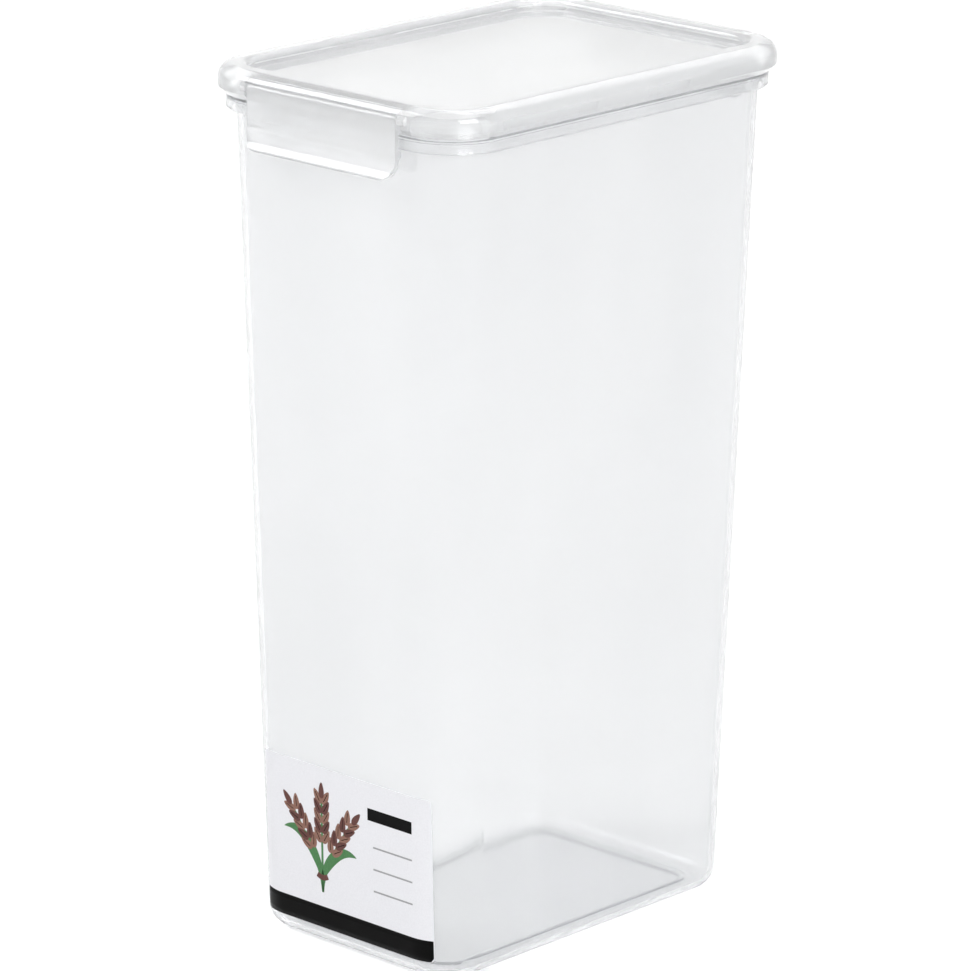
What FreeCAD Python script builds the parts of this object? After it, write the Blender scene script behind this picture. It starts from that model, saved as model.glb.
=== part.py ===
import FreeCAD, Part
import math
import os
import re
import Sketcher

# Food storage box: a tapered clear tub with a lid that is held down by two end clips.
# Millimetres, +Z up, X across the short side, Y along the long side, front face at -Y.
# The origin is the middle of the footprint at floor level.

Vector = FreeCAD.Vector

# Driving sizes
CELLS = {
    "total_height": (250, "floor to top of the lid's rim"),
    "lid_width": (100, "lid outside, along X"),
    "lid_depth": (142, "lid outside, along Y"),
    "lid_corner": (19, "plan radius of the lid's corners"),
    "rim_height": (8, "height of the lid's rolled rim"),
    "rim_top_round": (4, "roll over the rim's top outer edge"),
    "rim_under_bevel": (1.8, "bevel under the rim's lower outer edge"),
    "rim_roof": (2, "lid thickness over the seal"),
    "recess_drop": (2.8, "rim top down to the sunk panel"),
    "recess_bevel": (0.8, "slope at the foot of the sunk panel's wall"),
    "rim_inner_round": (1.8, "roll on the rim's top inner edge"),
    "panel_thickness": (1.6, "sunk panel"),
    "lid_overhang": (5.2, "lid outside to neck outside"),
    "channel_clearance": (0.35, "air on each side of the neck inside the lid"),
    "plug_wall": (1.4, "thickness of the ring inside the mouth"),
    "plug_depth": (6, "how far that ring reaches below the neck's top"),
    "seal_thickness": (1.8, "soft ring between neck and lid"),
    "seal_clearance": (0.1, "air on each side of the soft ring"),
    "wall": (1.5, "walls and floor of the tub"),
    "foot_height": (1, "depth of the sunk middle under the floor"),
    "foot_inset": (10, "base outline to the sunk middle"),
    "foot_corner": (5, "plan radius of the sunk middle's corners"),
    "base_inset": (5.8, "how far each wall leans in from neck to base"),
    "base_round": (6, "round between walls and base"),
    "lid_gap": (0.3, "air between the lid's rim and the flange"),
    "flange_setback": (2.2, "lid outside to flange outside"),
    "flange_height": (4.2, "height of the flange's turned-down lip"),
    "flange_web": (1.4, "thickness of the flange's level part"),
    "flange_lip": (1.4, "thickness of the turned-down lip"),
    "flange_root": (0.4, "thickening of the neck behind the lip"),
    "flange_bevel": (0.6, "bevels on the lip's outer edges"),
    "neck_bevel": (0.4, "bevels on the neck's top edges"),
    "clip_width": (56, "clip along X"),
    "clip_thickness": (1.4, "clip plate and finger tab"),
    "clip_corner": (5.5, "rounded lower corners of the finger tab"),
    "barrel_radius": (1.5, "barrel along the clip's top"),
    "pivot_inset": (1.9, "lid outside to the clip's axis"),
    "pivot_drop": (4.3, "rim top down to the clip's axis"),
    "pin_radius": (1.1, "pins at the barrel's ends"),
    "pin_length": (2.5, "pin beyond the barrel"),
    "pin_clearance": (0.05, "radial air round a pin"),
    "bore_end": (0.3, "air beyond the end of a pin"),
    "catch_radius": (1.1, "half-round bead that snaps under the flange"),
    "catch_gap": (0.1, "bead's top below the flange's lower edge"),
    "tab_start": (0.2, "bead's lower side down to the start of the tab's bend"),
    "tab_bend": (7.5, "radius of the tab's outward bend"),
    "tab_sweep": (40, "angle of the tab's bend in degrees"),
    "tab_end_wall": (1.4, "walls that close the two ends of the finger tab"),
    "tab_end_corner": (3.6, "inner rounds of those walls"),
    "notch_lip": (2.3, "rim left standing over the clip"),
    "notch_depth": (3.7, "notch in the rim, inward from the lid outside"),
    "notch_clearance": (0.4, "air at each end of a clip"),
    "label_width": (64.5, "label across the front"),
    "label_height": (48, "label up the front"),
    "label_bottom": (5.8, "floor to the label's lower edge"),
    "label_corner": (1.2, "rounded corners of the label"),
    "label_thickness": (0.2, "label film"),
    "label_bond": (0.03, "adhesive between tub and label"),
    "cut_margin": (1, "how far an open cut reaches past the piece"),
}

# Sizes that follow from the driving ones
DERIVED = {
    "skirt_level": "total_height - rim_height",
    "panel_level": "total_height - recess_drop",
    "seal_level": "total_height - rim_roof",
    "neck_level": "seal_level - seal_thickness",
    "flange_level": "skirt_level - lid_gap",
    "shoulder_level": "flange_level - flange_height",
    "neck_width": "lid_width - 2 * lid_overhang",
    "neck_depth": "lid_depth - 2 * lid_overhang",
    "neck_corner": "lid_corner - lid_overhang",
    "base_width": "neck_width - 2 * base_inset",
    "base_depth": "neck_depth - 2 * base_inset",
    "lean": "atan(base_inset / shoulder_level)",
    "mouth_inset": "lid_overhang + wall / cos(lean)",
    "channel_outer": "lid_overhang - channel_clearance",
    "channel_inner": "mouth_inset + channel_clearance",
    "rim_width": "channel_inner + plug_wall",
    "pivot_level": "total_height - pivot_drop",
    "pivot_y": "lid_depth / 2 - pivot_inset",
    "catch_level": "shoulder_level - catch_gap - catch_radius",
    "tab_level": "catch_level - catch_radius - tab_start",
    "tab_middle": "tab_bend + clip_thickness / 2",
    "tab_centre_y": "pivot_y + barrel_radius + tab_bend",
    "tab_end_y": "tab_centre_y - tab_middle * cos(tab_sweep * 1 deg)",
    "tab_end_level": "tab_level - tab_middle * sin(tab_sweep * 1 deg)",
    "clip_bottom": "tab_end_level - clip_thickness / 2",
    "notch_width": "clip_width + 2 * notch_clearance",
    "label_top": "label_bottom + label_height",
}

doc = FreeCAD.newDocument("food_storage_box")
sheet = doc.addObject("Spreadsheet::Sheet", "dims")
for row, (alias, (number, words)) in enumerate(CELLS.items(), start=1):
    sheet.set(f"A{row}", words)
    sheet.set(f"B{row}", str(number))
    sheet.setAlias(f"B{row}", alias)
doc.recompute()


def formula(text):
    """Write a rule in size names as an expression on the sheet's cells."""
    def swap(match):
        name = match.group(0)
        if name in DERIVED:
            return "(" + formula(DERIVED[name]) + ")"
        if name in CELLS:
            return "dims." + name
        return name
    return re.sub(r"[a-z_]+", swap, text)


def value(text):
    return float(sheet.evalExpression(formula(text)))


# Sketches

def new_sketch(body, name, plane, offset=None):
    sketch = body.newObject("Sketcher::SketchObject", name)
    support = [item for item in body.Origin.OriginFeatures if item.Role == plane][0]
    sketch.AttachmentSupport = (support, [""])
    sketch.MapMode = "FlatFace"
    if offset:
        sketch.setExpression("AttachmentOffset.Base.z", formula(offset))
    return sketch


def bind(sketch, constraint, name, text):
    index = sketch.addConstraint(constraint)
    sketch.renameConstraint(index, name)
    sketch.setExpression("Constraints." + name, formula(text))


def add_rounded_rectangle(sketch, name, width, depth, radius):
    """Draw a rectangle with four equal corner arcs, centred on the sketch's origin."""
    x = value(width) / 2
    y = value(depth) / 2
    r = value(radius)
    ends = [
        (-x + r, -y), (x - r, -y), (x, -y + r), (x, y - r),
        (x - r, y), (-x + r, y), (-x, y - r), (-x, -y + r),
    ]
    centres = [(x - r, -y + r), (x - r, y - r), (-x + r, y - r), (-x + r, -y + r)]
    first = sketch.GeometryCount
    for side in range(4):
        start = Vector(*ends[2 * side], 0)
        stop = Vector(*ends[2 * side + 1], 0)
        sketch.addGeometry(Part.LineSegment(start, stop))
        circle = Part.Circle(Vector(*centres[side], 0), Vector(0, 0, 1), r)
        turn = (side - 1) * math.pi / 2
        sketch.addGeometry(Part.ArcOfCircle(circle, turn, turn + math.pi / 2))
    for step in range(8):
        here = first + step
        after = first + (step + 1) % 8
        sketch.addConstraint(Sketcher.Constraint("Tangent", here, 2, after, 1))
    for side, way in enumerate(("Horizontal", "Vertical", "Horizontal", "Vertical")):
        sketch.addConstraint(Sketcher.Constraint(way, first + 2 * side))
    for arc in (3, 5, 7):
        sketch.addConstraint(Sketcher.Constraint("Equal", first + 1, first + arc))
    sketch.addConstraint(Sketcher.Constraint("Symmetric", first, 1, first + 4, 1, -1, 1))
    bind(sketch, Sketcher.Constraint("DistanceX", first + 6, 1, first + 2, 1, 2 * x), name + "_width", width)
    bind(sketch, Sketcher.Constraint("DistanceY", first, 1, first + 4, 1, 2 * y), name + "_depth", depth)
    bind(sketch, Sketcher.Constraint("Radius", first + 1, r), name + "_radius", radius)


def add_circle(sketch, name, x, y, radius):
    circle = Part.Circle(Vector(value(x), value(y), 0), Vector(0, 0, 1), value(radius))
    index = sketch.addGeometry(circle)
    bind(sketch, Sketcher.Constraint("DistanceX", index, 3, value(x)), name + "_x", x)
    bind(sketch, Sketcher.Constraint("DistanceY", index, 3, value(y)), name + "_y", y)
    bind(sketch, Sketcher.Constraint("Radius", index, value(radius)), name + "_radius", radius)


def add_outline(sketch, name, points, arcs):
    """Draw a closed outline through points; arcs maps a segment to its (centre x, centre y, ccw)."""
    places = [Vector(value(x), value(y), 0) for x, y in points]
    first = sketch.GeometryCount
    count = len(points)
    ends = []
    for step in range(count):
        start = places[step]
        stop = places[(step + 1) % count]
        if step not in arcs:
            sketch.addGeometry(Part.LineSegment(start, stop))
            ends.append((1, 2))
            continue
        centre_x, centre_y, ccw = arcs[step]
        centre = Vector(value(centre_x), value(centre_y), 0)
        low, high = (start, stop) if ccw else (stop, start)
        circle = Part.Circle(centre, Vector(0, 0, 1), (start - centre).Length)
        angles = [math.atan2(place.y - centre.y, place.x - centre.x) for place in (low, high)]
        if angles[1] < angles[0]:
            angles[1] += 2 * math.pi
        sketch.addGeometry(Part.ArcOfCircle(circle, angles[0], angles[1]))
        ends.append((1, 2) if ccw else (2, 1))
    for step in range(count):
        after = (step + 1) % count
        join = Sketcher.Constraint(
            "Coincident", first + step, ends[step][1], first + after, ends[after][0]
        )
        sketch.addConstraint(join)
        x, y = points[step]
        corner = f"{name}_{step}"
        side = ends[step][0]
        bind(sketch, Sketcher.Constraint("DistanceX", first + step, side, places[step].x), corner + "_x", x)
        bind(sketch, Sketcher.Constraint("DistanceY", first + step, side, places[step].y), corner + "_y", y)
    for step, (centre_x, centre_y, ccw) in arcs.items():
        chord = places[(step + 1) % count] - places[step]
        way, rule = ("DistanceX", centre_x) if abs(chord.y) > abs(chord.x) else ("DistanceY", centre_y)
        bind(sketch, Sketcher.Constraint(way, first + step, 3, value(rule)), f"{name}_{step}_centre", rule)


# Features

def finish_feature(body, feature):
    """Compute a feature and stop if it failed or left the body as it was."""
    before = body.Shape.Volume if not body.Shape.isNull() else 0
    doc.recompute()
    if not feature.isValid() or not body.Shape.isValid():
        raise RuntimeError(f"{feature.Label} failed in {body.Label}")
    if abs(body.Shape.Volume - before) < 1e-3:
        raise RuntimeError(f"{feature.Label} changed nothing in {body.Label}")
    return feature


def extrude(body, kind, sketch, length, side="One side", backwards=False):
    feature = body.newObject("PartDesign::" + kind, sketch.Name + "_" + kind.lower())
    feature.Profile = sketch
    feature.SideType = side
    feature.Reversed = backwards
    feature.setExpression("Length", formula(length))
    return finish_feature(body, feature)


def dress_edges(body, kind, size, name, amount, chosen):
    """Fillet or chamfer the edges of the body's present shape that pass the test."""
    base = body.Tip
    edges = [f"Edge{n}" for n, edge in enumerate(base.Shape.Edges, start=1) if chosen(edge)]
    feature = body.newObject("PartDesign::" + kind, name)
    feature.Base = (base, edges)
    feature.setExpression(size, formula(amount))
    return finish_feature(body, feature)


def round_edges(body, name, radius, chosen):
    return dress_edges(body, "Fillet", "Radius", name, radius, chosen)


def bevel_edges(body, name, width, chosen):
    return dress_edges(body, "Chamfer", "Size", name, width, chosen)


def ring_edge(width, depth, radius, level):
    """Make a test for edges that lie on a rounded rectangle at one level."""
    x, y, r, z = value(width) / 2, value(depth) / 2, value(radius), value(level)

    def lies_on_ring(edge):
        middle = edge.valueAt((edge.FirstParameter + edge.LastParameter) / 2)
        out_x = abs(middle.x) - (x - r)
        out_y = abs(middle.y) - (y - r)
        outside = math.hypot(max(out_x, 0), max(out_y, 0)) + min(max(out_x, out_y), 0)
        flat = edge.BoundBox.ZLength < 1e-4 and abs(middle.z - z) < 1e-4
        return flat and abs(outside - r) < 1e-3
    return lies_on_ring


def inset(text, amount):
    return f"({text} - 2 * ({amount}))"


def ring(sketch, name, outer_inset, inner_inset):
    """Draw two rounded rectangles, each set in from the lid's outline."""
    for side, amount in (("outer", outer_inset), ("inner", inner_inset)):
        add_rounded_rectangle(
            sketch, f"{name}_{side}", inset("lid_width", amount), inset("lid_depth", amount),
            f"lid_corner - ({amount})",
        )


# The tub

def leaning_block(name, growth):
    """Make the solid inside the tub's leaning walls, grown outward by an amount."""
    body = doc.addObject("PartDesign::Body", name)
    outline = new_sketch(body, name + "_outline", "XY_Plane", "shoulder_level")
    x = f"(neck_width / 2 + {growth})"
    y = f"(neck_depth / 2 + {growth})"
    add_outline(outline, "outline", [("-" + x, "-" + y), (x, "-" + y), (x, y), ("-" + x, y)], {})
    extrude(body, "Pad", outline, "shoulder_level", backwards=True)
    lean_walls(body)
    round_edges(body, name + "_corners", f"neck_corner + {growth}", lambda edge: edge.BoundBox.ZLength > 1)
    return body


def make_container():
    body = leaning_block("container", "0")
    round_edges(body, "base_edge", "base_round", lambda edge: edge.BoundBox.ZMax < 1e-4)

    foot = new_sketch(body, "foot", "XY_Plane")
    add_rounded_rectangle(
        foot, "foot", inset("base_width", "foot_inset"), inset("base_depth", "foot_inset"), "foot_corner"
    )
    extrude(body, "Pocket", foot, "foot_height", backwards=True)
    hollow_out(body)
    raise_neck(body)

    flange = new_sketch(body, "flange", "XY_Plane", "shoulder_level")
    ring(flange, "flange", "flange_setback", "lid_overhang + wall / 2")
    extrude(body, "Pad", flange, "flange_height")
    hollow = new_sketch(body, "flange_hollow", "XY_Plane", "shoulder_level")
    ring(hollow, "hollow", "flange_setback + flange_lip", "lid_overhang - flange_root")
    extrude(body, "Pocket", hollow, "flange_height - flange_web", backwards=True)
    flange_size = (inset("lid_width", "flange_setback"), inset("lid_depth", "flange_setback"),
                   "lid_corner - flange_setback")
    lower_edge = ring_edge(*flange_size, "shoulder_level")
    upper_edge = ring_edge(*flange_size, "flange_level")
    bevel_edges(body, "lip_edges", "flange_bevel", lambda edge: lower_edge(edge) or upper_edge(edge))
    neck_top = value("neck_level") - 1e-4
    bevel_edges(body, "neck_edges", "neck_bevel", lambda edge: edge.BoundBox.ZMin > neck_top)
    return body


def lean_walls(body):
    """Draft the upright walls about the shoulder, so that they lean in towards the base."""
    block = body.Tip
    faces = list(enumerate(block.Shape.Faces, start=1))
    draft = body.newObject("PartDesign::Draft", "wall_lean")
    draft.Base = (block, [f"Face{n}" for n, face in faces if face.BoundBox.ZLength > 1])
    draft.NeutralPlane = (block, faces_above(block, "shoulder_level"))
    draft.Reversed = True
    draft.setExpression("Angle", formula("lean"))
    finish_feature(body, draft)


def faces_above(feature, level):
    """Name the faces that lie wholly at or above a level."""
    return [
        f"Face{n}" for n, face in enumerate(feature.Shape.Faces, start=1)
        if face.BoundBox.ZMin > value(level) - 1e-4
    ]


def hollow_out(body):
    """Shell the tub from its open top to an even wall."""
    block = body.Tip
    shell = body.newObject("PartDesign::Thickness", "tub_shell")
    shell.Base = (block, faces_above(block, "shoulder_level"))
    shell.Reversed = True
    shell.Join = "Intersection"
    shell.setExpression("Value", formula("wall"))
    finish_feature(body, shell)


def raise_neck(body):
    """Carry the wall straight up from the shoulder as the neck."""
    tub = body.Tip
    neck = body.newObject("PartDesign::Pad", "neck")
    neck.Profile = (tub, faces_above(tub, "shoulder_level"))
    neck.setExpression("Length", formula("neck_level - shoulder_level"))
    finish_feature(body, neck)


# The lid

def make_lid():
    body = doc.addObject("PartDesign::Body", "lid")
    outline = new_sketch(body, "lid_outline", "XY_Plane", "skirt_level")
    lid_size = ("lid_width", "lid_depth", "lid_corner")
    add_rounded_rectangle(outline, "lid", *lid_size)
    extrude(body, "Pad", outline, "rim_height")
    round_edges(body, "rim_roll", "rim_top_round", ring_edge(*lid_size, "total_height"))
    bevel_edges(body, "rim_under", "rim_under_bevel", ring_edge(*lid_size, "skirt_level"))

    recess = new_sketch(body, "recess", "XY_Plane", "total_height")
    recess_size = (inset("lid_width", "rim_width"), inset("lid_depth", "rim_width"), "lid_corner - rim_width")
    add_rounded_rectangle(recess, "recess", *recess_size)
    extrude(body, "Pocket", recess, "recess_drop")
    round_edges(body, "rim_inner_edge", "rim_inner_round", ring_edge(*recess_size, "total_height"))
    bevel_edges(body, "recess_edge", "recess_bevel", ring_edge(*recess_size, "panel_level"))

    plug = new_sketch(body, "plug", "XY_Plane", "skirt_level")
    ring(plug, "plug", "channel_inner", "rim_width")
    extrude(body, "Pad", plug, "skirt_level - neck_level + plug_depth", backwards=True)
    under = new_sketch(body, "under_panel", "XY_Plane", "skirt_level")
    add_rounded_rectangle(under, "under", *recess_size)
    extrude(body, "Pocket", under, "panel_level - panel_thickness - skirt_level", backwards=True)
    channel = new_sketch(body, "channel", "XY_Plane", "skirt_level")
    ring(channel, "channel", "channel_outer", "channel_inner")
    extrude(body, "Pocket", channel, "seal_level - skirt_level", backwards=True)

    cut_clip_notches(body)
    return body


def cut_clip_notches(body):
    """Cut a notch with two pin bores into the rim at each end of the lid."""
    notch = new_sketch(body, "notch", "XY_Plane", "total_height - notch_lip")
    half = "notch_width / 2"
    back = "lid_depth / 2 - notch_depth"
    front = "lid_depth / 2 + cut_margin"
    for name, sign in (("front", "-"), ("rear", "")):
        points = [
            ("-" + half, f"{sign}({back})"), (half, f"{sign}({back})"),
            (half, f"{sign}({front})"), ("-" + half, f"{sign}({front})"),
        ]
        add_outline(notch, name, points, {})
    extrude(body, "Pocket", notch, "rim_height")

    bores = new_sketch(body, "pin_bores", "YZ_Plane")
    for name, side in (("front", "-pivot_y"), ("rear", "pivot_y")):
        add_circle(bores, name, side, "pivot_level", "pin_radius + pin_clearance")
    bore_depth = "(pin_length - notch_clearance + bore_end)"
    extrude(body, "Pocket", bores, f"notch_width + 2 * {bore_depth}", side="Symmetric")


def make_seal():
    body = doc.addObject("PartDesign::Body", "lid_seal")
    outline = new_sketch(body, "seal_ring", "XY_Plane", "neck_level")
    ring(outline, "seal", "channel_outer + seal_clearance", "channel_inner - seal_clearance")
    extrude(body, "Pad", outline, "seal_thickness")
    return body


# The clips

def make_clip(name, turn):
    """Build a clip at the front end and turn it about Z to its own end."""
    body = doc.addObject("PartDesign::Body", name)
    prefix = name + "_"

    barrel = new_sketch(body, prefix + "barrel", "YZ_Plane")
    add_circle(barrel, "barrel", "-pivot_y", "pivot_level", "barrel_radius")
    extrude(body, "Pad", barrel, "clip_width", side="Symmetric")

    outer = "-(pivot_y + barrel_radius)"
    inner = "-(pivot_y + barrel_radius - clip_thickness)"
    plate = new_sketch(body, prefix + "plate", "YZ_Plane")
    points = [
        (outer, "tab_level"), (inner, "tab_level"), (inner, "pivot_level"), (outer, "pivot_level"),
    ]
    add_outline(plate, "plate", points, {})
    extrude(body, "Pad", plate, "clip_width", side="Symmetric")

    catch = new_sketch(body, prefix + "catch", "YZ_Plane")
    add_circle(catch, "catch", "-pivot_y", "catch_level", "catch_radius")
    extrude(body, "Pad", catch, "clip_width", side="Symmetric")

    centre = ("-tab_centre_y", "tab_level")
    add_tab_ends(body, prefix, inner, centre)
    tab = new_sketch(body, prefix + "tab", "YZ_Plane")
    ends = []
    for reach in ("tab_bend", "(tab_bend + clip_thickness)"):
        across = f"-(tab_centre_y - {reach} * cos(tab_sweep * 1 deg))"
        ends.append((across, f"tab_level - {reach} * sin(tab_sweep * 1 deg)"))
    points = [(outer, "tab_level"), *ends, (inner, "tab_level")]
    arcs = {0: (*centre, False), 1: ("-tab_end_y", "tab_end_level", True), 2: (*centre, True)}
    add_outline(tab, "tab", points, arcs)
    extrude(body, "Pad", tab, "clip_width", side="Symmetric")

    trim_clip_corners(body, prefix)

    pins = new_sketch(body, prefix + "pins", "YZ_Plane")
    add_circle(pins, "pins", "-pivot_y", "pivot_level", "pin_radius")
    extrude(body, "Pad", pins, "clip_width + 2 * pin_length", side="Symmetric")
    body.Placement = FreeCAD.Placement(Vector(0, 0, 0), FreeCAD.Rotation(Vector(0, 0, 1), turn))
    return body


def add_tab_ends(body, prefix, inner, centre):
    """Fill the space behind the finger tab and open it again between two end walls."""
    fill = new_sketch(body, prefix + "tab_fill", "YZ_Plane")
    points = [
        (inner, "tab_level"), (inner, "tab_end_level"), ("-tab_end_y", "tab_end_level"),
        ("tab_middle - tab_centre_y", "tab_level"),
    ]
    add_outline(fill, "fill", points, {2: (*centre, True)})
    extrude(body, "Pad", fill, "clip_width", side="Symmetric")

    space = new_sketch(body, prefix + "finger_space", "XZ_Plane")
    side = "(clip_width / 2 - tab_end_wall)"
    start = "(clip_width / 2 - tab_end_wall - tab_end_corner)"
    below = "clip_bottom - cut_margin"
    low = "clip_bottom + tab_end_wall"
    high = "clip_bottom + tab_end_wall + tab_end_corner"
    points = [
        ("-" + side, "tab_level"), (side, "tab_level"), (side, high), (start, low),
        (start, below), ("-" + start, below), ("-" + start, low), ("-" + side, high),
    ]
    add_outline(space, "space", points, {2: (start, high, False), 6: ("-" + start, high, False)})
    extrude(body, "Pocket", space, "2 * lid_depth", side="Symmetric")


def trim_clip_corners(body, prefix):
    """Round the finger tab's two lower corners as seen from the front."""
    corners = new_sketch(body, prefix + "corners", "XZ_Plane")
    for name, sign in (("left", "-"), ("right", "")):
        side = f"{sign}(clip_width / 2)"
        beyond = f"{sign}(clip_width / 2 + cut_margin)"
        start = f"{sign}(clip_width / 2 - clip_corner)"
        below = "clip_bottom - cut_margin"
        above = "clip_bottom + clip_corner"
        points = [(start, "clip_bottom"), (start, below), (beyond, below), (beyond, above), (side, above)]
        add_outline(corners, name, points, {4: (start, above, name == "left")})
    extrude(body, "Pocket", corners, "2 * lid_depth", side="Symmetric")


# The label

def make_label():
    """Cut the label's outline out of a thin sleeve that follows the leaning walls."""
    sleeve = doc.addObject("Part::Cut", "label_sleeve")
    sleeve.Base = leaning_block("label_face", "(label_bond + label_thickness)")
    sleeve.Tool = leaning_block("label_back", "label_bond")

    stamp = doc.addObject("PartDesign::Body", "label_stamp")
    outline = new_sketch(stamp, "label_outline", "XZ_Plane")
    half = "label_width / 2"
    inner = "(label_width / 2 - label_corner)"
    low = "label_bottom + label_corner"
    high = "label_top - label_corner"
    points = [
        ("-" + inner, "label_bottom"), (inner, "label_bottom"), (half, low), (half, high),
        (inner, "label_top"), ("-" + inner, "label_top"), ("-" + half, high), ("-" + half, low),
    ]
    arcs = {
        1: (inner, low, True), 3: (inner, high, True),
        5: ("-" + inner, high, True), 7: ("-" + inner, low, True),
    }
    add_outline(outline, "outline", points, arcs)
    extrude(stamp, "Pad", outline, "lid_depth")

    label = doc.addObject("Part::Common", "label")
    label.Base = sleeve
    label.Tool = stamp
    doc.recompute()
    return label


nodes = [
    make_container(),
    make_lid(),
    make_seal(),
    make_clip("front_clip", 0),
    make_clip("rear_clip", 180),
    make_label(),
]
doc.recompute()
for item in doc.Objects:
    if "Invalid" in item.State or "Error" in item.State:
        raise RuntimeError(f"{item.Label} did not compute: {item.State}")
os.makedirs("parts", exist_ok=True)
for node in nodes:
    if node.Shape.isNull() or not node.Shape.isValid():
        raise RuntimeError(f"{node.Label} has no valid shape")
    node.Shape.exportStep(f"parts/{node.Label}.step")
    print(node.Label, len(node.Shape.Solids), "solid", round(node.Shape.Volume), "mm3")
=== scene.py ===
import math

import bmesh
import bpy
from mathutils import Matrix, Vector
from mathutils.bvhtree import BVHTree


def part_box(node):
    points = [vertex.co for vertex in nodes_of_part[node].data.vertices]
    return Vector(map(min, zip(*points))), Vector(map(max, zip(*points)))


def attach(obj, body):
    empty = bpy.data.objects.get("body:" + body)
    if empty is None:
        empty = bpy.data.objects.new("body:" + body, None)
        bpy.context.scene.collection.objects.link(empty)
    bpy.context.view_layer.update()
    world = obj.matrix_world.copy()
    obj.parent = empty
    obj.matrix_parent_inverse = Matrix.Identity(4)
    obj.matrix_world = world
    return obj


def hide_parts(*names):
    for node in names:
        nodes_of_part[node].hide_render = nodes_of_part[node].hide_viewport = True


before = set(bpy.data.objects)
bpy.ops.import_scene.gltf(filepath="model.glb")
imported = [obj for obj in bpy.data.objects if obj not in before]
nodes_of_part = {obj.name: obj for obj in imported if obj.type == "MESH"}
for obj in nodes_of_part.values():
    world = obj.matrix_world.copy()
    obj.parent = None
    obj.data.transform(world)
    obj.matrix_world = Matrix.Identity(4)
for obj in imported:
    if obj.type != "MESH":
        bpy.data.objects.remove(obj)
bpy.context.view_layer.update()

MM = 0.001
scene = bpy.context.scene


# Node helpers

def new_material(name):
    material = bpy.data.materials.new(name)
    material.use_nodes = True
    tree = material.node_tree
    return material, tree, tree.nodes["Principled BSDF"]


def add_node(tree, kind, values=None, **settings):
    node = tree.nodes.new(kind)
    for name, value in settings.items():
        setattr(node, name, value)
    for name, value in (values or {}).items():
        node.inputs[name].default_value = value
    return node


def object_point(tree, stretch=(1, 1, 1)):
    place = add_node(tree, "ShaderNodeTexCoord").outputs["Object"]
    mapping = add_node(tree, "ShaderNodeMapping", {"Scale": stretch})
    tree.links.new(place, mapping.inputs["Vector"])
    return mapping.outputs["Vector"]


def noise(tree, scale, detail=3, roughness=0.55, stretch=(1, 1, 1)):
    node = add_node(tree, "ShaderNodeTexNoise", {"Scale": scale, "Detail": detail, "Roughness": roughness})
    tree.links.new(object_point(tree, stretch), node.inputs["Vector"])
    return node.outputs["Fac"]


def colour_between(tree, factor, first, second, low=0.3, high=0.7):
    ramp = add_node(tree, "ShaderNodeValToRGB")
    ramp.color_ramp.elements[0].position = low
    ramp.color_ramp.elements[0].color = (*first, 1)
    ramp.color_ramp.elements[1].position = high
    ramp.color_ramp.elements[1].color = (*second, 1)
    tree.links.new(factor, ramp.inputs["Fac"])
    return ramp.outputs["Color"]


def number_between(tree, factor, first, second, low=0.3, high=0.7):
    spread = add_node(tree, "ShaderNodeMapRange", {
        "From Min": low, "From Max": high, "To Min": first, "To Max": second})
    tree.links.new(factor, spread.inputs["Value"])
    return spread.outputs["Result"]


def bump(tree, height, depth, strength, under=None):
    node = add_node(tree, "ShaderNodeBump", {"Strength": strength, "Distance": depth})
    tree.links.new(height, node.inputs["Height"])
    if under:
        tree.links.new(under, node.inputs["Normal"])
    return node.outputs["Normal"]


def seen_by_camera(tree):
    """Give 1 on rays that show a thing directly, in a reflection or through plastic, and 0 on others."""
    rays = add_node(tree, "ShaderNodeLightPath")
    seen = add_node(tree, "ShaderNodeMath", operation="MAXIMUM")
    seen_through = add_node(tree, "ShaderNodeMath", operation="MAXIMUM")
    tree.links.new(rays.outputs["Is Camera Ray"], seen.inputs[0])
    tree.links.new(rays.outputs["Is Glossy Ray"], seen.inputs[1])
    tree.links.new(seen.outputs[0], seen_through.inputs[0])
    tree.links.new(rays.outputs["Is Transmission Ray"], seen_through.inputs[1])
    return seen_through.outputs[0]


# Materials

PLASTIC_IOR = 1.49
SILICONE_IOR = 1.41
FILM_IOR = 1.5
DEEP_PLASTIC = (0.74, 0.77, 0.80, 1)


def clear_plastic(name, pale, deep, clearness, rough, absorb):
    """Moulded plastic with faint flow marks, shallow waves and a fine skin, darker where it is thick."""
    material, tree, shader = new_material(name)
    shader.inputs["IOR"].default_value = PLASTIC_IOR
    shader.inputs["Transmission Weight"].default_value = clearness
    flow = noise(tree, scale=22, detail=4, stretch=(1, 1, 0.25))
    tree.links.new(colour_between(tree, flow, deep, pale), shader.inputs["Base Color"])
    tree.links.new(number_between(tree, flow, rough[1], rough[0]), shader.inputs["Roughness"])
    waves = bump(tree, noise(tree, scale=24, detail=1), depth=0.2 * MM, strength=0.07)
    skin = bump(tree, noise(tree, scale=900, detail=2), depth=0.01 * MM, strength=0.3, under=waves)
    tree.links.new(skin, shader.inputs["Normal"])
    volume = add_node(tree, "ShaderNodeVolumeAbsorption", {"Color": DEEP_PLASTIC, "Density": absorb})
    tree.links.new(volume.outputs["Volume"], tree.nodes["Material Output"].inputs["Volume"])
    return material


def silicone(name, pale, deep, clearness, rough):
    """Cloudy soft ring material with a fine matt skin."""
    material, tree, shader = new_material(name)
    shader.inputs["IOR"].default_value = SILICONE_IOR
    shader.inputs["Transmission Weight"].default_value = clearness
    cloud = noise(tree, scale=120)
    tree.links.new(colour_between(tree, cloud, deep, pale), shader.inputs["Base Color"])
    tree.links.new(number_between(tree, cloud, rough[1], rough[0]), shader.inputs["Roughness"])
    skin = bump(tree, noise(tree, scale=1500), depth=0.02 * MM, strength=0.5)
    tree.links.new(skin, shader.inputs["Normal"])
    return material


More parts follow.
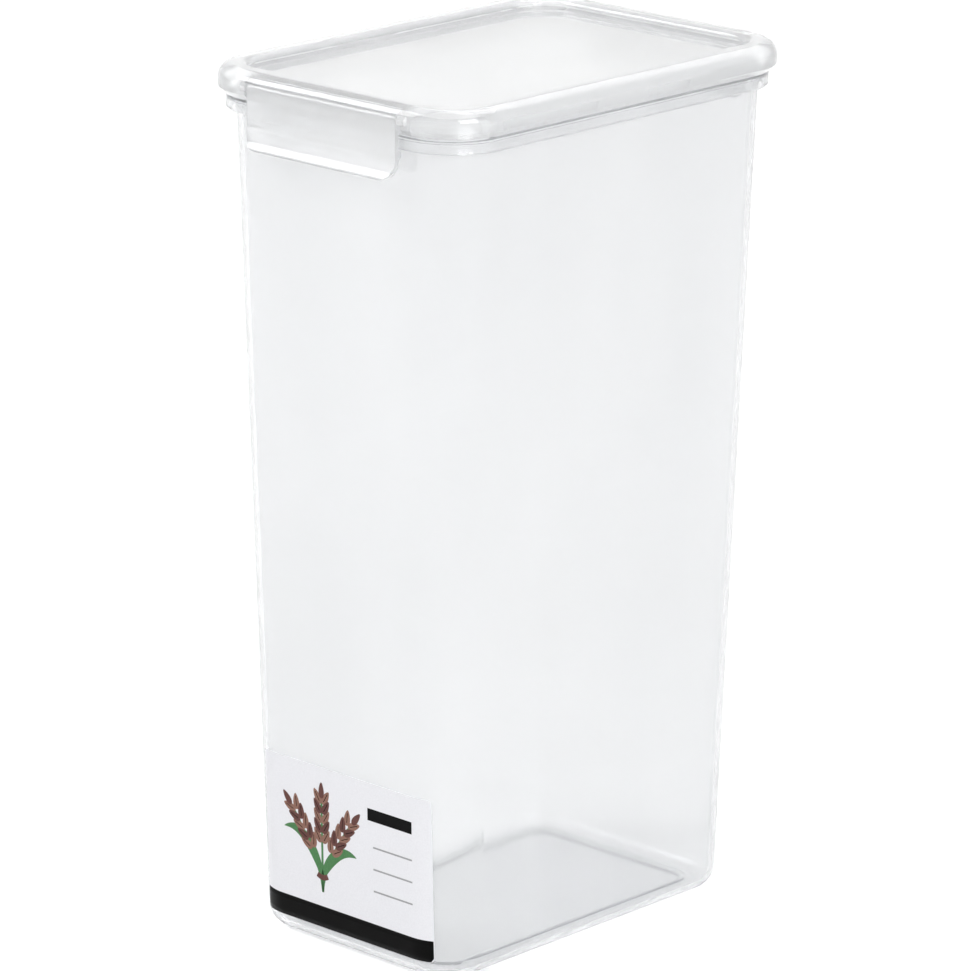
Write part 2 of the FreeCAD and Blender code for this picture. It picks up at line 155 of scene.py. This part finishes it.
def printed_film(name, deep, pale, rough, shine=0.15):
    """Label film or ink with a fine grain and little shine."""
    material, tree, shader = new_material(name)
    shader.inputs["IOR"].default_value = FILM_IOR
    shader.inputs["Specular IOR Level"].default_value = shine
    grain = noise(tree, scale=2200, detail=4, roughness=0.7)
    tree.links.new(colour_between(tree, grain, deep, pale), shader.inputs["Base Color"])
    tree.links.new(number_between(tree, grain, rough + 0.06, rough - 0.04), shader.inputs["Roughness"])
    tree.links.new(bump(tree, grain, depth=0.01 * MM, strength=0.5), shader.inputs["Normal"])
    return material


tub = clear_plastic(
    "tub_clear", pale=(0.955, 0.958, 0.963), deep=(0.92, 0.924, 0.931),
    clearness=0.87, rough=(0.06, 0.12), absorb=34)
lid = clear_plastic(
    "lid_clear", pale=(0.99, 0.991, 0.992), deep=(0.965, 0.968, 0.971),
    clearness=0.74, rough=(0.04, 0.09), absorb=18)
clip = clear_plastic(
    "clip_clear", pale=(0.985, 0.986, 0.988), deep=(0.955, 0.958, 0.962),
    clearness=0.71, rough=(0.04, 0.09), absorb=34)
seal = silicone(
    "seal_silicone_clear", pale=(0.97, 0.972, 0.975), deep=(0.93, 0.935, 0.94),
    clearness=0.45, rough=(0.34, 0.42))
film = printed_film("label_film_white", (0.76, 0.76, 0.79), (0.82, 0.82, 0.85), rough=0.38, shine=0.3)
ink_black = printed_film("ink_black", (0.002, 0.002, 0.002), (0.004, 0.004, 0.004), rough=0.30, shine=0.05)
ink_green = printed_film("ink_green", (0.05, 0.16, 0.06), (0.09, 0.24, 0.09), rough=0.34)
ink_brown = printed_film("ink_brown", (0.09, 0.035, 0.03), (0.15, 0.06, 0.05), rough=0.34)
ink_tan = printed_film("ink_tan", (0.22, 0.11, 0.08), (0.30, 0.16, 0.12), rough=0.34)
ink_grey = printed_film("ink_grey", (0.30, 0.30, 0.31), (0.36, 0.36, 0.37), rough=0.36)

MATERIALS = {
    "container": tub, "lid": lid, "lid_seal": seal,
    "front_clip": clip, "rear_clip": clip, "label": film,
}
for node_name, material in MATERIALS.items():
    piece = nodes_of_part[node_name]
    piece.data.materials.clear()
    piece.data.materials.append(material)


# Added pieces

def smooth(mesh):
    for face in mesh.faces:
        face.smooth = True


def new_piece(name, mesh, material):
    """Make a finished mesh an object of the scene."""
    bmesh.ops.recalc_face_normals(mesh, faces=mesh.faces[:])
    data = bpy.data.meshes.new(name)
    mesh.to_mesh(data)
    mesh.free()
    data.materials.append(material)
    piece = bpy.data.objects.new(name, data)
    scene.collection.objects.link(piece)
    return piece


# Soft ring with rounded edges, a hair clear of the lid above it and the neck below it

SEAL_WIDTH = 2.0 * MM
SEAL_CORNER = 14.05 * MM
SEAL_EASE = 0.07 * MM
SEAL_ROUND = 0.45 * MM
SECTION_STEPS = 4
CORNER_STEPS = 16


def round_corners(steps):
    """Go once round four corners, with the signs of each corner's place and the turns of its arc."""
    for quarter, (across, up) in enumerate(((1, 1), (-1, 1), (-1, -1), (1, -1))):
        for i in range(steps + 1):
            yield across, up, math.pi / 2 * (quarter + i / steps)


def round_section(width, height, radius):
    """Give the outline of a section with four rounded corners, about its middle."""
    return [(across * (width / 2 - radius) + radius * math.cos(turn),
             up * (height / 2 - radius) + radius * math.sin(turn))
            for across, up, turn in round_corners(SECTION_STEPS)]


def make_seal_ring():
    """Carry the section round the seal's own outline."""
    seal_low, seal_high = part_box("lid_seal")
    middle = (seal_low + seal_high) / 2
    arc_x = (seal_high.x - seal_low.x) / 2 - SEAL_CORNER
    arc_y = (seal_high.y - seal_low.y) / 2 - SEAL_CORNER
    section = round_section(SEAL_WIDTH, seal_high.z - seal_low.z - 2 * SEAL_EASE, SEAL_ROUND)
    mesh = bmesh.new()
    stations = []
    for side, end, turn in round_corners(CORNER_STEPS):
        line = []
        for out, up in section:
            reach = SEAL_CORNER - SEAL_WIDTH / 2 + out
            line.append(mesh.verts.new((
                middle.x + side * arc_x + reach * math.cos(turn),
                middle.y + end * arc_y + reach * math.sin(turn),
                middle.z + up)))
        stations.append(line)
    for i, line in enumerate(stations):
        before = stations[i - 1]
        for j, corner in enumerate(line):
            mesh.faces.new((before[j - 1], before[j], corner, line[j - 1]))
    smooth(mesh)
    ring = new_piece("seal_ring", mesh, seal)
    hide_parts("lid_seal")
    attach(ring, "lid")


make_seal_ring()


# Print on the label, laid on its outer face

LAYER = 0.012 * MM
LABEL_CORNER = 1.2 * MM
BEFORE_LABEL = -200 * MM
STRIPE_MARGIN = 0.02 * MM
STRIPE_COLUMNS = 96
STRIPE_ROWS = 4
label_low, label_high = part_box("label")
label_tree = BVHTree.FromObject(nodes_of_part["label"], bpy.context.evaluated_depsgraph_get())


def on_label(x, z):
    point, normal, _, _ = label_tree.ray_cast(Vector((x, BEFORE_LABEL, z)), Vector((0, 1, 0)))
    return point, normal


def print_piece(name, mesh, material):
    """Make a finished mesh a layer of print, which stays on the tub with its label."""
    piece = new_piece(name, mesh, material)
    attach(piece, "container")


def lay_shapes(name, shapes, material, layer):
    """Lay flat outlines, given in millimetres across and up, on the label as one thin print layer."""
    mesh = bmesh.new()
    for outline in shapes:
        front, back = [], []
        for x, z in outline:
            point, normal = on_label(x * MM, z * MM)
            front.append(mesh.verts.new(point + normal * LAYER * layer))
            back.append(mesh.verts.new(point - normal * LAYER))
        mesh.faces.new(front)
        mesh.faces.new(back[::-1])
        for i, corner in enumerate(front):
            mesh.faces.new((front[i - 1], back[i - 1], back[i], corner))
    print_piece(name, mesh, material)


def stripe_grid(mesh, top, lift):
    """Lay a grid of points from the label's rounded lower edge up to a level."""
    half = label_high.x - STRIPE_MARGIN
    grid = []
    for i in range(STRIPE_COLUMNS + 1):
        x = half * (2 * i / STRIPE_COLUMNS - 1)
        past = max(abs(x) - (half - LABEL_CORNER), 0)
        rise = LABEL_CORNER - math.sqrt(max(LABEL_CORNER ** 2 - past ** 2, 0))
        bottom = label_low.z + STRIPE_MARGIN + rise
        line = []
        for j in range(STRIPE_ROWS + 1):
            point, normal = on_label(x, bottom + (top - bottom) * j / STRIPE_ROWS)
            line.append(mesh.verts.new(point + normal * lift))
        grid.append(line)
    return grid


def grid_rim(grid):
    """Give the points round a grid's edge, in order."""
    lower = [line[0] for line in grid]
    right = grid[-1][1:]
    upper = [line[-1] for line in reversed(grid[:-1])]
    left = grid[0][-2:0:-1]
    return lower + right + upper + left


def lay_stripe(name, top, material):
    """Lay a stripe along the label's lower edge, bent with it round the tub's corners."""
    mesh = bmesh.new()
    rims = []
    for lift in (LAYER, -LAYER):
        grid = stripe_grid(mesh, top * MM, lift)
        for i in range(STRIPE_COLUMNS):
            for j in range(STRIPE_ROWS):
                mesh.faces.new((grid[i][j], grid[i + 1][j], grid[i + 1][j + 1], grid[i][j + 1]))
        rims.append(grid_rim(grid))
    front, back = rims
    for i, corner in enumerate(front):
        mesh.faces.new((front[i - 1], back[i - 1], back[i], corner))
    smooth(mesh)
    print_piece(name, mesh, material)


# Shapes of the print, in millimetres across and up the label

GRAIN_STEPS = 18
GRAIN_TAPER = 0.35
BLADE_FOOT_SHARE = 0.08
BLADE_FULLNESS = 0.8


def grain_shape(x, z, length, width, turn):
    """A drop-shaped grain that points along its turn from upright."""
    points = []
    for i in range(GRAIN_STEPS):
        angle = 2 * math.pi * i / GRAIN_STEPS
        along = 0.5 * length * math.cos(angle)
        across = 0.5 * width * math.sin(angle) * (1 - GRAIN_TAPER * math.cos(angle))
        points.append((x + along * math.sin(turn) - across * math.cos(turn),
                       z + along * math.cos(turn) + across * math.sin(turn)))
    return points


def line_shape(path, width):
    """A line of even width along a path."""
    left, right = [], []
    for i, (x, z) in enumerate(path):
        before = path[max(i - 1, 0)]
        after = path[min(i + 1, len(path) - 1)]
        run = Vector((after[0] - before[0], after[1] - before[1])).normalized()
        left.append((x - run.y * width / 2, z + run.x * width / 2))
        right.append((x + run.y * width / 2, z - run.x * width / 2))
    return left + right[::-1]


def blade_shape(path, width):
    """A long leaf along a path, pointed at its tip and narrow at its foot."""
    left, right = [], []
    last = len(path) - 1
    for i, (x, z) in enumerate(path[:-1]):
        after = path[i + 1]
        run = Vector((after[0] - x, after[1] - z)).normalized()
        share = BLADE_FOOT_SHARE + (1 - BLADE_FOOT_SHARE) * i / last
        half = 0.5 * width * math.sin(math.pi * share) ** BLADE_FULLNESS
        left.append((x - run.y * half, z + run.x * half))
        right.append((x + run.y * half, z - run.x * half))
    return left + [path[-1]] + right[::-1]


# The sheaf: lean and height of each ear; side, reach and rise of each blade

EARS = ((-0.52, 24.0), (0.0, 29.0), (0.52, 24.0))
EAR_CURVE = 1.6
EAR_ROWS = 5
EAR_START, EAR_SPAN, EAR_TIP = 0.54, 0.40, 1.05
STEM_STEPS, STEM_WIDTH = 16, 0.8
GRAIN_LENGTH, GRAIN_WIDTH, TIP_WIDTH = 4.8, 2.3, 2.0
GRAIN_ASIDE, GRAIN_RISE, GRAIN_SPLAY = 1.6, 1.2, 0.55
CREASE_REACH, CREASE_WIDTH = 1.5, 0.22
BLADES = ((-1, 15.0, 13.0), (1, 13.5, 10.0))
BLADE_STEPS, BLADE_WIDTH, BLADE_FOOT = 20, 3.4, 4.0
BLADE_CURVE, BLADE_ARCH = 1.3, 1.9
TIE_STEPS, TIE_STEP, TIE_WIDTH = 4, 0.5, 1.6
TIE_LEVEL, TIE_BOW = 4.4, 0.04


def stem_point(foot, lean, height, share):
    """Give the place at a share of an ear's height."""
    return foot[0] + lean * share ** EAR_CURVE * height, foot[1] + height * share


def ear_grains(foot, lean, height):
    """Give the row, place and turn of each grain in the two rows of an ear."""
    for row in range(EAR_ROWS):
        share = EAR_START + EAR_SPAN * row / (EAR_ROWS - 1)
        x, z = stem_point(foot, lean, height, share)
        heading = math.atan(lean * EAR_CURVE * share ** (EAR_CURVE - 1))
        for side in (-1, 1):
            grain_x = x + side * GRAIN_ASIDE * math.cos(heading)
            grain_z = z + GRAIN_RISE - side * GRAIN_ASIDE * math.sin(heading)
            yield row, grain_x, grain_z, heading + side * GRAIN_SPLAY


def crease_path(x, z, turn):
    """Give the middle line of a grain."""
    return [(x + reach * math.sin(turn), z + reach * math.cos(turn))
            for reach in (-CREASE_REACH, 0, CREASE_REACH)]


def blade_path(foot, side, reach, rise):
    """Give the arched middle line of a blade."""
    return [(foot[0] + side * reach * (i / BLADE_STEPS) ** BLADE_CURVE,
             foot[1] + BLADE_FOOT + rise * math.sin(BLADE_ARCH * i / BLADE_STEPS))
            for i in range(BLADE_STEPS + 1)]


def draw_sheaf(foot):
    """Lay three ears of grain and two blades, tied in a sheaf."""
    stems, dark, light, creases = [], [], [], []
    for lean, height in EARS:
        stem = [stem_point(foot, lean, height, i / STEM_STEPS) for i in range(STEM_STEPS + 1)]
        stems.append(line_shape(stem, STEM_WIDTH))
        for row, x, z, turn in ear_grains(foot, lean, height):
            grains = dark if row % 2 else light
            grains.append(grain_shape(x, z, GRAIN_LENGTH, GRAIN_WIDTH, turn))
            creases.append(line_shape(crease_path(x, z, turn), CREASE_WIDTH))
        x, z = stem_point(foot, lean, height, EAR_TIP)
        dark.append(grain_shape(x, z, GRAIN_LENGTH, TIP_WIDTH, math.atan(lean * EAR_CURVE)))
    blades = [blade_shape(blade_path(foot, *blade), BLADE_WIDTH) for blade in BLADES]
    tie = [(foot[0] + TIE_STEP * i, foot[1] + TIE_LEVEL + TIE_BOW * i * i)
           for i in range(-TIE_STEPS, TIE_STEPS + 1)]
    lay_shapes("print_stems", stems, ink_green, 1)
    lay_shapes("print_blades", blades, ink_green, 2)
    lay_shapes("print_grains_light", light, ink_tan, 3)
    lay_shapes("print_grains_dark", dark, ink_brown, 4)
    lay_shapes("print_creases", creases, ink_black, 5)
    lay_shapes("print_tie", [line_shape(tie, TIE_WIDTH)], ink_brown, 6)


SHEAF_FOOT = (-9.0, 16.5)
LINE_LEVELS = (22.0, 28.5, 35.0)
LINE_ENDS = (11.0, 26.0)
LINE_WIDTH = 0.5
BAR_LEVEL = 44.5
BAR_ENDS = (9.0, 26.0)
BAR_WIDTH = 3.6
STRIPE_TOP = 12.2

draw_sheaf(SHEAF_FOOT)
write_on_lines = [line_shape([(x, level) for x in LINE_ENDS], LINE_WIDTH) for level in LINE_LEVELS]
lay_shapes("print_lines", write_on_lines, ink_grey, 1)
lay_shapes("print_bar", [line_shape([(x, BAR_LEVEL) for x in BAR_ENDS], BAR_WIDTH)], ink_black, 1)
lay_stripe("print_stripe", STRIPE_TOP, ink_black)


# Floor, light and camera

FLOOR_HALF = 6.0
FLOOR_DROP = 0.1 * MM


def make_floor():
    """A pale floor that keeps its shadows and is lifted towards white where it is seen."""
    data = bpy.data.meshes.new("floor")
    corners = [(x * FLOOR_HALF, y * FLOOR_HALF, 0) for x, y in ((-1, -1), (1, -1), (1, 1), (-1, 1))]
    data.from_pydata(corners, [], [(0, 1, 2, 3)])
    floor = bpy.data.objects.new("floor", data)
    floor.location.z = -FLOOR_DROP
    scene.collection.objects.link(floor)
    material, tree, shader = new_material("floor_white")
    shader.inputs["Roughness"].default_value = 0.9
    shader.inputs["Specular IOR Level"].default_value = 0.0
    shade = colour_between(tree, noise(tree, scale=6), (0.84, 0.84, 0.84), (0.86, 0.86, 0.86))
    tree.links.new(shade, shader.inputs["Base Color"])
    reach = add_node(tree, "ShaderNodeVectorMath", operation="LENGTH")
    tree.links.new(object_point(tree), reach.inputs[0])
    glow = number_between(tree, reach.outputs["Value"], first=0.26, second=0.55, low=0.3, high=1.8)
    lift = add_node(tree, "ShaderNodeMath", operation="MULTIPLY")
    tree.links.new(seen_by_camera(tree), lift.inputs[0])
    tree.links.new(glow, lift.inputs[1])
    shader.inputs["Emission Color"].default_value = (1, 1, 1, 1)
    tree.links.new(lift.outputs[0], shader.inputs["Emission Strength"])
    data.materials.append(material)


def make_world():
    """White where it is seen, slightly greyer overhead, and dimmer as light on the object."""
    world = bpy.data.worlds.new("studio")
    scene.world = world
    world.use_nodes = True
    tree = world.node_tree
    background = tree.nodes["Background"]
    strength = number_between(tree, seen_by_camera(tree), first=0.45, second=1.0, low=0, high=1)
    tree.links.new(strength, background.inputs["Strength"])
    place = add_node(tree, "ShaderNodeTexCoord").outputs["Generated"]
    parts = add_node(tree, "ShaderNodeSeparateXYZ")
    tree.links.new(place, parts.inputs[0])
    sky = colour_between(tree, parts.outputs["Z"], (1.0, 1.0, 1.0), (0.90, 0.905, 0.91), low=0.15, high=0.85)
    tree.links.new(sky, background.inputs["Color"])


def soft_box(name, place, aim, size, power):
    data = bpy.data.lights.new(name, "AREA")
    data.shape = "RECTANGLE"
    data.size, data.size_y = size
    data.energy = power
    lamp = bpy.data.objects.new(name, data)
    lamp.location = place
    lamp.rotation_euler = (Vector(aim) - Vector(place)).to_track_quat("-Z", "Y").to_euler()
    scene.collection.objects.link(lamp)


def make_camera():
    """Stand where the photograph was taken from. Lengths are in metres, the focal length in pixels."""
    azimuth, elevation, roll = math.radians(43.13), math.radians(16.47), math.radians(0.41)
    distance, focal_pixels, image_height = 1.6096, 5709.0, 971
    aim_side, aim_height = -0.00338, 0.12467
    back = Vector((
        math.sin(azimuth) * math.cos(elevation),
        -math.cos(azimuth) * math.cos(elevation),
        math.sin(elevation)))
    right = Vector((math.cos(azimuth), math.sin(azimuth), 0))
    up = back.cross(right)
    rolled_right = right * math.cos(roll) + up * math.sin(roll)
    rolled_up = up * math.cos(roll) - right * math.sin(roll)
    aim = Vector((aim_side * math.cos(azimuth), aim_side * math.sin(azimuth), aim_height))
    data = bpy.data.cameras.new("camera")
    data.sensor_width = 36
    data.lens = focal_pixels * data.sensor_width / image_height
    data.clip_start, data.clip_end = 0.05, 50
    camera = bpy.data.objects.new("camera", data)
    turn = Matrix((rolled_right, rolled_up, back)).transposed()
    camera.matrix_world = Matrix.Translation(aim + back * distance) @ turn.to_4x4()
    scene.collection.objects.link(camera)
    scene.camera = camera


make_floor()
make_world()
soft_box("key", place=(-0.9, -0.9, 1.3), aim=(0, 0, 0.12), size=(0.9, 0.9), power=16)
soft_box("fill", place=(1.4, -0.5, 0.8), aim=(0, 0, 0.12), size=(0.8, 0.8), power=13)
soft_box("top", place=(0.1, 0.5, 1.6), aim=(0, 0, 0.1), size=(1.0, 1.0), power=6)
make_camera()
scene.view_settings.view_transform = "Standard"

# Light crosses many clear walls before it leaves the box
scene.cycles.max_bounces = 40
scene.cycles.transmission_bounces = 40
scene.cycles.glossy_bounces = 24
scene.cycles.diffuse_bounces = 24
scene.cycles.blur_glossy = 0.1
